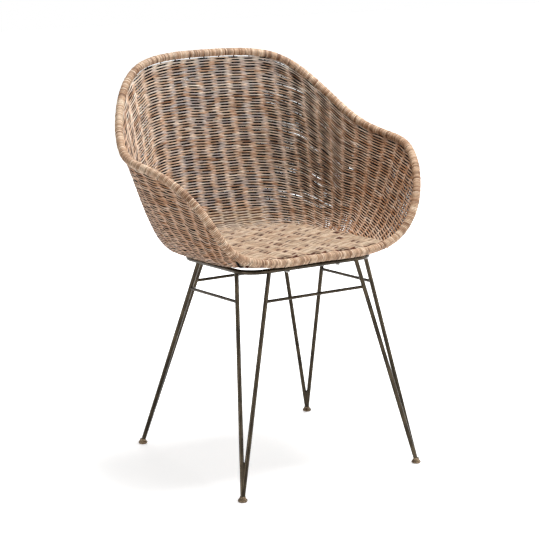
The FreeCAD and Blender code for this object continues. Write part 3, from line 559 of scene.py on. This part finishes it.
def wallPieces():
    # A strand's centre is wall + outward * swing * wave, with wave = sin(phase) - square sin(3 phase).
    # The phase gains pi from stake to stake and strays a little at each; wave changes sign from row
    # to row.
    climbed, weight = wallRows()
    rows = len(climbed)
    place, facing = onWall(climbed)
    thin = (np.interp(shares, weave["thinAcross"], (0, 1, 1, 0))
            * ramp(np.arange(rows) / rows, *weave["thinUp"])[:, None])
    phase = np.pi * (shares * weave["stakes"] + 0.5)
    shifts = chance.normal(0, weave["stagger"], (rows, weave["stakes"] + 2))
    spots = np.arange(columns) / weave["samples"]
    low = spots.astype(int)
    phase = phase + shifts[:, low] * (1 - spots + low) + shifts[:, low + 1] * (spots - low)
    wave = (np.sin(phase) - weave["square"] * np.sin(3 * phase)) * everyOther(rows)
    gain, least = weave["swingEnding"]
    swing = weave["swing"] * wave * np.clip(weight * gain, least, 1) * (1 + weave["swingMoreLoose"] * thin)
    paths = place + facing * swing[..., None]
    radius = weave["strand"] * (1 + chance.normal(0, weave["thickness"], (rows, 1))
                                + chance.normal(0, weave["lumps"], (rows, columns)))
    keep = (weight > weave["endWeight"]) & (climbed > weave["lowest"])
    keep &= climbed < height - rim["radius"] + weave["overRim"]
    joined = (np.abs(place[..., 0]) < mat["join"]) & (place[..., 1] > mat["joinRear"])
    joined &= place[..., 2] < mat["joinLevel"]
    joined &= place[..., 2] > mat["joinLevel"] - mat["joinTall"]
    keep &= ~joined
    tones = np.clip(chance.normal(weave["tone"], weave["toneSpread"], rows), 0.02, 0.98)
    tones[-weave["topRows"]:] = weave["topTone"]
    arms = np.interp(shares, weave["armsAcross"], weave["armsShare"])
    wide = weave["wideBack"] + (weave["wideArms"] - weave["wideBack"]) * arms
    wide = wide + (weave["wideLoose"] - wide) * thin
    # painted shade on the flanks: more on the arms, and more again in the loose stretch
    flank = weave["flankBack"] + (weave["flankArms"] - weave["flankBack"]) * arms
    flank = flank + weave["flankMoreLoose"] * thin
    return [tubes("wall_rows_%d" % (index + 1), paths[band], facing[band], radius[band], keep[band],
                  tones[band], wave[band], wide=wide[band], thick=weave["thick"], flank=flank[band])
            for index, band in enumerate(np.array_split(np.arange(rows), weave["bands"]))]


def wallStakes():
    # upright stakes from the hoop into the rim, each a tube along every other point of its line
    at = np.arange(1, weave["stakes"]) * weave["samples"]
    lines, facing = surface[at][:, ::2], outward[at][:, ::2]
    shape = lines.shape[:2]
    radius = np.full(shape, weave["stake"]) * (1 + chance.normal(0, weave["stakeThickness"], (len(at), 1)))
    return tubes("wall_stakes", lines, facing, radius, np.ones(shape, bool),
                 chance.uniform(*weave["stakeTones"], len(at)), np.zeros(shape), sides=8)


mat = {
    "halfWidth": 172.0, "front": -159.6, "lip": 4.0, "hoopFront": -140.3,
    "lift": 19.6, "panel": 13.0,         # above the ring's axis plane, and thickness, as in the frame
    "below": 5.5,                        # from the panel's top down to the rows' middle
    "lipRun": 10.0, "lipIn": 6.0,        # rows get shorter over the lip's run
    "turnUp": 186.0, "turnEarly": 12.0, "turnPull": 0.55,   # where the mat turns up into the back
    "join": 98.0, "joinLevel": 484.0,    # the back's rows start above this level, over this half width
    "joinRear": 150.0, "joinTall": 11.0, "joinInset": 1.5,
    "dive": 132.0, "diveFrom": 92.0,     # half width where the turned-up rows are inside the wall
    "inset": 2.0, "diveDepth": 6.0,
    "stakePitch": 34.6, "samples": 8,    # stakes, and samples of a row from one to the next
    "stakeAt": -5.0, "lean": -12.0, "leanFrom": 150.0,      # they lean aside behind leanFrom
    "spare": 12.0, "endRun": 5.0, "endDrop": 7.0,           # rows' ends drop under the rim
    "strand": 1.75, "stake": 1.4, "swing": 3.0, "pitch": 2.95, "wander": 0.12, "thickness": 0.07,
    "wide": 1.32, "thick": 0.92,         # rows are pressed flat
    # toneRear makes the turn-up's rows lighter: painted light against the shade at the foot of the back
    "tone": 0.60, "toneSpread": 0.2, "toneRear": 0.14,
    "shadedShare": 0.45, "groupRows": 4, "shadedDepth": 2.4,    # groups of rows darkened by painted shade in a bay
    "dashShare": 0.17, "dashRows": 2, "dashDepth": 1.8,     # shorter painted shade dashes among them
    "flank": 1.5, "flankAt": 0.76, "flankHalf": 0.3, "flankPeak": 1.4,   # both lie on a stake's flank
    "edgeRows": 3, "edgeHalf": 0.33, "edgeDepth": 2.2,      # painted shade dashes along the front rim
    "rearDepth": 0.7,                    # how much deeper the painted shade is on the turn-up
    "stakePoints": 90, "stakeIn": 3.0, "stakeTop": 88.0, "stakeTones": (0.1, 0.5),
    "linePoints": 400, "turnPoints": 60,
}


def seatLine():
    # the mat's side view: nearly flat from the rim, falling by lip * (share of the lip)^2 in front,
    # then a cubic quarter turn that ends just inside the back's rows; gives points along it and the
    # distance gone
    level = mat["lift"] + mat["panel"] - mat["below"]
    y = np.linspace(mat["front"], mat["turnUp"], mat["linePoints"])
    lipShare = (mat["hoopFront"] - y) / (mat["hoopFront"] - mat["front"])
    flat = raked(0 * y, y, level - mat["lip"] * np.clip(lipShare, 0, None) ** 2)
    line = surface[half] - outward[half] * mat["joinInset"]
    join = np.argmax(line[:, 2] > mat["joinLevel"])
    end, endWay = line[join], unit(line[join + 1] - line[join])
    start, startWay = flat[-1], unit(flat[-1] - flat[-2])
    reach = mat["turnPull"] * np.linalg.norm(end - start)
    t = np.linspace(0, 1, mat["turnPoints"])[1:, None]
    turn = (start * (1 - t) ** 3 + (start + startWay * reach) * 3 * t * (1 - t) ** 2
            + (end - endWay * reach) * 3 * t ** 2 * (1 - t) + end * t ** 3)
    path = np.vstack([flat, turn])
    gone = np.r_[0, np.cumsum(np.linalg.norm(np.diff(path, axis=0), axis=1))]
    return path, gone


def wallAtLevel(levels):
    # where each upright line of the wall passes each level: x and y, one row per level
    above = np.argmax(surface[None, :, :, 2] >= levels[:, None, None], axis=2)
    above = np.maximum(above, 1)
    column = np.arange(columns)[None, :]
    low, high = surface[column, above - 1], surface[column, above]
    share = (levels[:, None] - low[..., 2]) / np.maximum(high[..., 2] - low[..., 2], 1e-6)
    place = low + (high - low) * np.clip(share, 0, 1)[..., None]
    return place[..., 0], place[..., 1]


def seatPieces():
    # Each row is a straight line across, y = y of the side view, up to the wall. The rows of the
    # turn-up bend with the wall instead, y = min(y of the side view, wall - inset), and dive into it.
    # A strand leaves the mat by swing * wave, with wave = sin(phase) and pi of phase to each stake.
    path, gone = seatLine()

    def atDistance(distance):
        return np.stack([np.interp(distance, gone, path[:, axis]) for axis in range(3)], 1)

    def raisedShare(line):
        return ramp(line[:, 1], mat["leanFrom"], line[-1, 1] - mat["leanFrom"])
    rows = int(gone[-1] / mat["pitch"])
    marks = (np.arange(rows) + 0.5) * gone[-1] / rows
    centre = atDistance(marks)
    way = unit(np.gradient(centre, axis=0))
    top = np.cross([1.0, 0, 0], way)
    wallX, wallY = wallAtLevel(centre[:, 2])
    reach = np.array([np.interp(y, ys, xs) for y, ys, xs in
                      zip(centre[:, 1], wallY[:, :half], wallX[:, :half])])
    reach = np.minimum(np.abs(reach), mat["halfWidth"])
    onLip = ramp(centre[:, 1], mat["front"] + mat["lipRun"], -mat["lipRun"])
    reach = reach - mat["lipIn"] * onLip ** 2
    turned = centre[:, 1] > mat["turnUp"] - mat["turnEarly"]
    reach[turned] = np.maximum(reach[turned], mat["dive"])

    pitch = mat["stakePitch"]
    intervals = 2 * math.ceil((mat["halfWidth"] + abs(mat["stakeAt"]) + mat["spare"]) / pitch)
    samples = intervals * mat["samples"] + 1
    steps = np.linspace(-0.5, 0.5, samples) * intervals
    raised = raisedShare(centre)
    stakeAt = mat["stakeAt"] + mat["lean"] * raised
    x = (steps * pitch)[None, :] + stakeAt[:, None]
    wave = np.sin(np.pi * (steps + 0.5))[None, :] * everyOther(rows)
    xs = np.clip(x, -reach[:, None], reach[:, None])
    over = np.clip((np.abs(x) - reach[:, None] + mat["endRun"]) / mat["endRun"], 0, 1)
    over[turned] = 0
    knots = chance.normal(0, mat["wander"], (rows, intervals + 2))
    spot = np.arange(samples) / mat["samples"]
    low = np.minimum(np.floor(spot).astype(int), intervals)
    part = spot - low
    stray = knots[:, low] * (1 - part) + knots[:, low + 1] * part
    paths = centre[:, None, :] + np.zeros((1, samples, 1))
    paths[..., 0] = xs
    rearX, rearY = [values[:, half // 3:-half // 3] for values in (wallX, wallY)]
    rear = np.stack([np.interp(line, wx[o], wy[o])
                     for line, wx, wy, o in zip(xs, rearX, rearY, np.argsort(rearX, axis=1))])
    diving = ramp(np.abs(xs), mat["diveFrom"], mat["dive"] - mat["diveFrom"])
    bent = np.minimum(paths[..., 1], rear - (mat["inset"] - mat["diveDepth"] * diving))
    paths[..., 1] = np.where(turned[:, None], bent, paths[..., 1])
    paths = paths + way[:, None, :] * stray[..., None]
    facing = np.broadcast_to(top[:, None, :], paths.shape)
    swing = mat["swing"] * wave * (1 - over) - mat["endDrop"] * over ** 2
    paths = paths + facing * swing[..., None]
    uneven = chance.normal(0, mat["thickness"], (rows, 1)) + np.zeros((rows, samples))
    radius = mat["strand"] * (1 + uneven)
    keep = np.abs(x) < reach[:, None] + pitch / mat["samples"] * 0.9
    # the turn-up's rows get lighter tones: painted light against the shade there
    tones = chance.normal(mat["tone"], mat["toneSpread"], rows) + mat["toneRear"] * raised
    tones = np.clip(tones, 0.05, 0.98)

    # painted shade dashes: some groups of rows are darkened on the flank of a stake, and a row of dashes
    # along the rim
    bay = (x - stakeAt[:, None]) / pitch + intervals
    bayNumber = np.clip(np.floor(bay).astype(int), 0, 2 * intervals + 1)

    def patches(tall, share):
        # true in this share of the patches, each a bay wide and so many rows tall
        lots = chance.uniform(0, 1, (rows // tall + 1, 2 * intervals + 2)) < share
        return lots[(np.arange(rows) // tall)[:, None], bayNumber]
    peak = mat["flankPeak"]
    flank = np.clip(peak - peak * np.abs(bay % 1 - mat["flankAt"]) / mat["flankHalf"], 0, 1)
    shadedGroups = patches(mat["groupRows"], mat["shadedShare"]) * (wave < 0.1)
    dashed = patches(mat["dashRows"], mat["dashShare"])
    edge = np.clip(1 - np.abs(bay % 1 - 0.5) / mat["edgeHalf"], 0, 1)
    edge = edge * (np.arange(rows) < mat["edgeRows"])[:, None]
    # shade becomes the recess: painted shade, deeper on the turn-up
    shade = wave * (1 - over) * (1 + mat["rearDepth"] * raised[:, None])
    shade = shade - mat["shadedDepth"] * flank * shadedGroups - mat["edgeDepth"] * np.sqrt(edge)
    shade = shade - mat["dashDepth"] * flank * dashed
    rowsPiece = tubes("seat_rows", paths, facing, radius, keep, tones, shade,
                      wide=mat["wide"], thick=mat["thick"], flank=mat["flank"])

    mark = np.linspace(0, gone[-1], mat["stakePoints"])
    line = atDistance(mark)
    count = intervals // 2 - 1
    places = np.arange(-count, count + 1) * pitch
    lines = np.broadcast_to(line, (len(places), *line.shape)).copy()
    lines[..., 0] = places[:, None] + mat["stakeAt"] + (mat["lean"] * raisedShare(line))[None, :]
    lineTop = np.cross([1.0, 0, 0], unit(np.gradient(line, axis=0)))
    aside = np.abs(lines[..., 0])
    keepLine = aside < np.interp(mark, marks, reach)[None, :] - mat["stakeIn"]
    keepLine &= (line[:, 1] < mat["turnUp"] - mat["turnEarly"]) | (aside < mat["stakeTop"])
    shape = lines.shape[:2]
    stakesPiece = tubes("seat_stakes", lines, np.broadcast_to(lineTop, lines.shape),
                        np.full(shape, mat["stake"]), keepLine,
                        chance.uniform(*mat["stakeTones"], len(places)), np.zeros(shape), sides=8)
    return rowsPiece, stakesPiece


wrap = {
    "pitch": 3.1, "perTurn": 6, "sides": 18,
    "ridge": 0.8, "ridgePower": 0.7,     # height of one turn's back above the groove beside it
    "radius": 7.6,
    "tieEvery": 36.0, "tieDrop": 0.4,    # a stake comes up through the binding at about this spacing
    "tieVaries": (0.4, 1.6), "tieDown": 0.6,
    "fat": 0.25, "lift": 0.1,            # unevenness of the turns
    "tone": 0.54, "toneSpread": 0.24, "slow": 0.12, "slowTurns": 9,   # tones also drift over some turns
    # painted shade in the grooves between turns and at the ties, where the binding dips
    "groovePower": 0.8, "grooveTie": 0.5,
}


def rimWrap():
    # flat peel wound on the pole: radius = core + ridge * |sin(pi * turn)|^ridgePower, where turn
    # counts windings along the rim and gains a little with the angle, because the peel climbs as it
    # goes round
    turns = int(rimLength / wrap["pitch"])
    rings = turns * wrap["perTurn"]
    share = np.arange(rings) / rings
    centre = rimAt(share)
    ahead = unit(np.roll(centre, -1, axis=0) - np.roll(centre, 1, axis=0))
    level = unit(np.cross(ahead, [0, 0, 1.0]))
    up = np.cross(level, ahead)
    angle = np.arange(wrap["sides"]) * 2 * np.pi / wrap["sides"]
    count = share[:, None] * turns + angle[None, :] / (2 * np.pi)
    turn = np.floor(count).astype(int) % turns
    back = np.abs(np.sin(np.pi * count))
    tied = np.cumsum(chance.uniform(*wrap["tieVaries"], turns) * wrap["tieEvery"] / wrap["pitch"]).astype(int)
    down = np.clip(wrap["tieDown"] - wrap["tieDown"] * np.sin(angle), 0, 1)
    ties = np.isin(np.arange(turns), tied)[turn] * down[None, :]
    fat = np.clip(chance.normal(1, wrap["fat"], turns), 0.3, 1.6)[turn]
    lift = chance.normal(0, wrap["lift"], turns)[turn] - wrap["tieDrop"] * ties
    radius = wrap["radius"] + lift + wrap["ridge"] * fat * back ** wrap["ridgePower"]
    spoke = np.cos(angle)[:, None] * level[:, None] + np.sin(angle)[:, None] * up[:, None]
    verts = centre[:, None] + spoke * radius[..., None]
    number = np.arange(rings * wrap["sides"]).reshape(rings, wrap["sides"])
    every = wrap["slowTurns"]
    stops = np.arange(0, turns + every, every)
    slow = np.interp(np.arange(turns), stops, chance.normal(0, wrap["slow"], turns // every + 2)[:len(stops)])
    tones = np.clip(chance.normal(wrap["tone"], wrap["toneSpread"], turns) + slow, 0.03, 0.98)[turn]
    along = np.broadcast_to(angle[None, :] * wrap["radius"] * 0.001 + count * 0.01, number.shape)
    # painted shade: darker in the grooves between turns and at the ties
    groove = np.clip(1 - back ** wrap["groovePower"] + wrap["grooveTie"] * ties, 0, 1)
    return buildMesh("rim_wrap", verts.reshape(-1, 3), ringQuads(number, np.roll(number, -1, axis=0)),
                     np.zeros((0, 4), int), along.ravel(), tones.ravel(), groove.ravel())


foot = {
    # height, radius of the turned outline, from the recess up to the neck
    "outline": np.array([(0.6, 6.6), (0.6, 8.2), (1.3, 9.2), (2.6, 9.9), (3.6, 10.0), (4.6, 9.7), (5.6, 8.9),
                         (7.0, 7.5), (8.6, 6.5), (10.2, 6.05), (11.5, 5.9), (11.5, 0.01)], float),
    "sides": 40,
}


def footPieces():
    # each foot is the outline turned about the middle of its node's box: (x + r cos a, y + r sin a, z)
    pieces = []
    line = foot["outline"]
    angle = np.arange(foot["sides"]) * 2 * np.pi / foot["sides"]
    for name in ("front_right", "front_left", "rear_right", "rear_left"):
        low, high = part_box(name + "_foot")
        x, y = [(low[axis] + high[axis]) * 500 for axis in (0, 1)]   # half the sum, metres to millimetres
        y += baseAhead
        verts = np.stack([x + line[:, 1:] * np.cos(angle), y + line[:, 1:] * np.sin(angle),
                          np.broadcast_to(line[:, :1], (len(line), len(angle)))], -1)
        number = np.arange(len(line) * len(angle)).reshape(len(line), len(angle))
        a, b = number[:-1], number[1:]
        quads = np.stack([a, np.roll(a, -1, axis=1), np.roll(b, -1, axis=1), b], 2).reshape(-1, 4)
        along = np.broadcast_to(line[:, :1] * 0.001, number.shape)
        piece = buildMesh(name + "_turned_foot", verts.reshape(-1, 3), quads, number[:1, ::-1], along.ravel(),
                          np.full(number.size, 0.5))
        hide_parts(name + "_foot")
        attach(piece, "root")
        pieces.append(piece)
    return pieces


print("weaving the wall")
wallParts = wallPieces()
stakesPart = wallStakes()
print("weaving the seat")
seatRows, seatStakes = seatPieces()
print("winding the rim")
rimPart = rimWrap()
print("turning the feet")
feet = footPieces()

# the last colour in each of these is the painted shade in the weave's recesses, the two numbers after it
# where it begins and is full
wallLooks = {
    "Light": srgb(248, 232, 214), "Middle": srgb(217, 186, 160), "Dark": srgb(136, 101, 77),
    "Grey": srgb(184, 176, 174), "Greying": 0.9, "Warm": srgb(176, 126, 90), "Warming": 0.45,
    "Browning": 0.55, "Contrast": 1.9, "Specular IOR Level": 0.13,
    "Painted Shade": srgb(16, 7, 4), "Painted Shade From": 0.12, "Painted Shade To": 0.34,
}
seatLooks = {
    "Light": srgb(209, 187, 162), "Middle": srgb(173, 148, 122), "Dark": srgb(118, 90, 67),
    "Grey": srgb(182, 172, 162), "Greying": 0.6, "Warm": srgb(184, 142, 110), "Warming": 0.4,
    "Browning": 0.0, "Contrast": 2.2, "Specular IOR Level": 0.2,
    "Painted Shade": srgb(112, 62, 36), "Painted Shade From": 0.24, "Painted Shade To": 0.85,
}
rimLooks = {
    "Light": srgb(246, 222, 194), "Middle": srgb(204, 170, 140), "Dark": srgb(128, 93, 69),
    "Grey": srgb(176, 164, 154), "Greying": 0.35, "Warm": srgb(180, 134, 98), "Warming": 0.4,
    "Browning": 0.15, "Contrast": 1.2, "Specular IOR Level": 0.22,
    "Painted Shade": srgb(52, 30, 19), "Painted Shade From": 0.2, "Painted Shade To": 0.92,
}
# stakes: a darker reed, made darker still as painted shade for the shade they lie in behind the rows
stakeLooks = {
    "Light": srgb(72, 47, 32), "Middle": srgb(54, 34, 22), "Dark": srgb(34, 20, 13),
    "Grey": srgb(80, 68, 60), "Greying": 0.2, "Warm": srgb(90, 56, 36), "Warming": 0.3,
    "Browning": 0.0, "Contrast": 0.4, "Specular IOR Level": 0.12,
    "Painted Shade": srgb(60, 40, 30), "Painted Shade From": 0.3, "Painted Shade To": 0.8,
}
wallReed = reedMaterial("greyed reed", wallLooks)
seatReed = reedMaterial("pale reed", seatLooks)
rimPeel = reedMaterial("rattan peel", rimLooks)
stakeReed = reedMaterial("dark stake", stakeLooks)

for piece in wallParts + [stakesPart]:
    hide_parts("back_and_arms_weave")
    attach(piece, "root")
    dress(piece, wallReed)
dress(stakesPart, stakeReed)
for piece in (seatRows, seatStakes):
    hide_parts("seat_weave")
    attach(piece, "root")
    dress(piece, seatReed)
dress(seatStakes, stakeReed)
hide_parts("rim_binding")
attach(rimPart, "root")
dress(rimPart, rimPeel)

# materials of the frame's own nodes
rodLooks = {"Film": srgb(45, 39, 31), "Worn": srgb(98, 86, 68), "Wear": 0.5, "Metallic": 0.9}
footLooks = {"Film": srgb(76, 64, 51), "Worn": srgb(134, 116, 94), "Wear": 0.8, "Metallic": 0.95}
zincLooks = {"Film": srgb(150, 148, 144), "Worn": srgb(190, 188, 184), "Wear": 0.4, "Metallic": 0.95}
poleLooks = {
    "light": srgb(176, 142, 104), "dark": srgb(120, 90, 62),
    "streaks": 60.0, "roughness": 0.5, "relief": (0.3, 0.0005),
}
glideLooks = {"colour": srgb(38, 37, 36), "grain": 900.0, "roughness": (0.5, 0.75)}


def poleMaterial(name, looks):
    # peeled rattan pole on object coordinates: blotches from dark to light, which are its relief too
    material, tree, shader = newMaterial(name)
    streak = noise(tree, objectPlace(tree), looks["streaks"], 5.0)
    plug(tree, shader, {"Base Color": mix(tree, streak, looks["dark"], looks["light"]),
                        "Normal": bump(tree, streak, *looks["relief"]), "Roughness": looks["roughness"]})
    return material


def glideMaterial(name, looks):
    # moulded glide: near black, its roughness broken up by a fine grain
    material, tree, shader = newMaterial(name)
    grain = noise(tree, objectPlace(tree), looks["grain"], 2.0)
    rough = remap(tree, grain, target=looks["roughness"])
    plug(tree, shader, {"Roughness": rough, "Base Color": looks["colour"]})
    return material


bronze = metalMaterial("bronzed steel", rodLooks)
footBronze = metalMaterial("bronzed steel, turned", footLooks)
zinc = metalMaterial("zinc", zincLooks)
pole = poleMaterial("peeled pole", poleLooks)
glide = glideMaterial("glide plastic", glideLooks)
for piece in feet:
    dress(piece, footBronze)
for name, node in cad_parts.items():
    if name.endswith(("_rod", "_stretcher", "_web", "_foot")) or name == "seat_ring":
        dressing = bronze
    elif name.endswith("_glide"):
        dressing = glide
    elif name == "shell_screws":
        dressing = zinc
    else:
        dressing = pole
    for slotIndex in range(len(node.material_slots)):
        node.material_slots[slotIndex].material = dressing
print("materials done")

studio = {
    "key": 110.0, "keySize": 1.6, "keyPlace": (0.62, -0.06, 3.2),     # watts and metres
    "right": 31.0, "rightSize": 1.1, "rightPlace": (2.8, -1.4, 1.2),
    "left": 13.0, "leftSize": 0.7, "leftPlace": (-2.5, -0.6, 0.4),
    "front": 26.0, "frontSize": 1.4, "frontPlace": (0.6, -3.2, 1.2),
    "rear": 18.0, "rearSize": 1.4, "rearPlace": (0.8, 3.1, 1.4),
    "aim": (0.0, 0.0, 0.45),
    "sky": 0.12, "floorReach": 9.0, "floorGlow": 0.58, "floorFar": 1.0,
    "glowFrom": 0.3, "glowTo": 1.1,      # metres from the chair over which the floor turns plain white
}
white = (1, 1, 1, 1)


def softBox(name, place, size, power):
    # square lamp that looks at the studio's aim
    lamp = bpy.data.lights.new(name, "AREA")
    lamp.shape = "SQUARE"
    lamp.size = size
    lamp.energy = power
    holder = addObject(name, lamp)
    holder.location = place
    x, y, z = np.array(studio["aim"]) - np.array(place)
    holder.rotation_euler = (math.pi / 2 + math.atan2(z, math.hypot(x, y)), 0, math.atan2(y, x) - math.pi / 2)


def seenRays(tree):
    # 1 for camera, glossy and transmission rays, which see the pale background, and otherwise 0
    path = addNode(tree, "LightPath", {}).outputs
    mirrored = maths(tree, "MAXIMUM", path["Is Camera Ray"], path["Is Glossy Ray"])
    return maths(tree, "MAXIMUM", mirrored, path["Is Transmission Ray"])


for title in ("key", "right", "left", "front", "rear"):
    softBox(title + " light", studio[title + "Place"], studio[title + "Size"], studio[title])

world = bpy.data.worlds.new("studio")
world.use_nodes = True
bpy.context.scene.world = world
skyTree = world.node_tree
skyTree.nodes.clear()
plain = addNode(skyTree, "Background", {"Strength": studio["sky"], "Color": white})
bright = addNode(skyTree, "Background", {"Strength": 1.0, "Color": white})
either = addNode(skyTree, "MixShader", {"Fac": seenRays(skyTree), 1: plain.outputs[0], 2: bright.outputs[0]})
addNode(skyTree, "OutputWorld", {"Surface": either.outputs[0]})

floorMesh = bpy.data.meshes.new("floor")
reach = studio["floorReach"]
floorCorners = [(x * reach, y * reach, 0) for x, y in ((-1, -1), (1, -1), (1, 1), (-1, 1))]
floorMesh.from_pydata(floorCorners, [], [(0, 1, 2, 3)])
floor = addObject("floor", floorMesh)
floorMaterial, floorTree, floorShader = newMaterial("pale floor")
away = addNode(floorTree, "VectorMath", {0: objectPlace(floorTree)}, operation="LENGTH").outputs["Value"]
glow = remap(floorTree, away, (studio["glowFrom"], studio["glowTo"]),
             (studio["floorGlow"], studio["floorFar"]), smooth=True)
plug(floorTree, floorShader, {
    "Base Color": (0.92, 0.92, 0.92, 1), "Roughness": 0.9, "Specular IOR Level": 0.1,
    "Emission Color": white, "Emission Strength": maths(floorTree, "MULTIPLY", seenRays(floorTree), glow),
})
dress(floor, floorMaterial)

view = {"place": (-1.8582, -2.9497, 1.2168), "pitch": 13.304, "heading": -32.29, "lens": 114.03}
camera = addObject("camera", bpy.data.cameras.new("camera"))
camera.location = view["place"]
camera.rotation_euler = (math.radians(90 - view["pitch"]), 0, math.radians(view["heading"]))
camera.data.lens = view["lens"]
camera.data.sensor_width = 36
camera.data.clip_end = 60
bpy.context.scene.camera = camera
bpy.context.scene.view_settings.view_transform = "Standard"

print("stage done")
